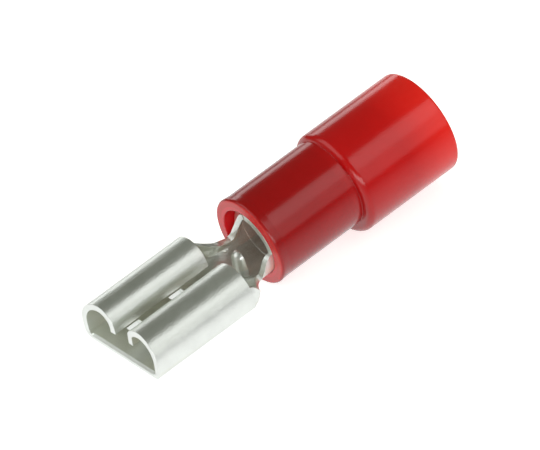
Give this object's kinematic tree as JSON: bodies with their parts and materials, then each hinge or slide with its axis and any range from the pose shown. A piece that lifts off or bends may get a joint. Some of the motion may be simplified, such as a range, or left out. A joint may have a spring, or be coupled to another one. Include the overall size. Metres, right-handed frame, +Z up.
{
  "type": "insulated female spade terminal",
  "caption": "Push-on receptacle with two rolled edges on an open neck, a crimp barrel and a stepped red insulating sleeve.",
  "frame": {"origin": "on the wire barrel's axis, at the middle of the round barrel's length, where the crimp is pressed", "axes": "+X along the barrel towards the wire entry, +Z up from the receptacle's flat floor towards its rolled edges"},
  "size_m": [0.0199, 0.0059, 0.0057],
  "materials": {
    "tin_plate": "satin bright tin plate",
    "support_metal": "satin tin plate",
    "red_vinyl": "glossy slightly translucent red vinyl"
  },
  "bodies": {
    "root": {"terminal": "tin_plate", "support_sleeve": "support_metal", "insulating_sleeve": "red_vinyl"}
  },
  "joints": []
}
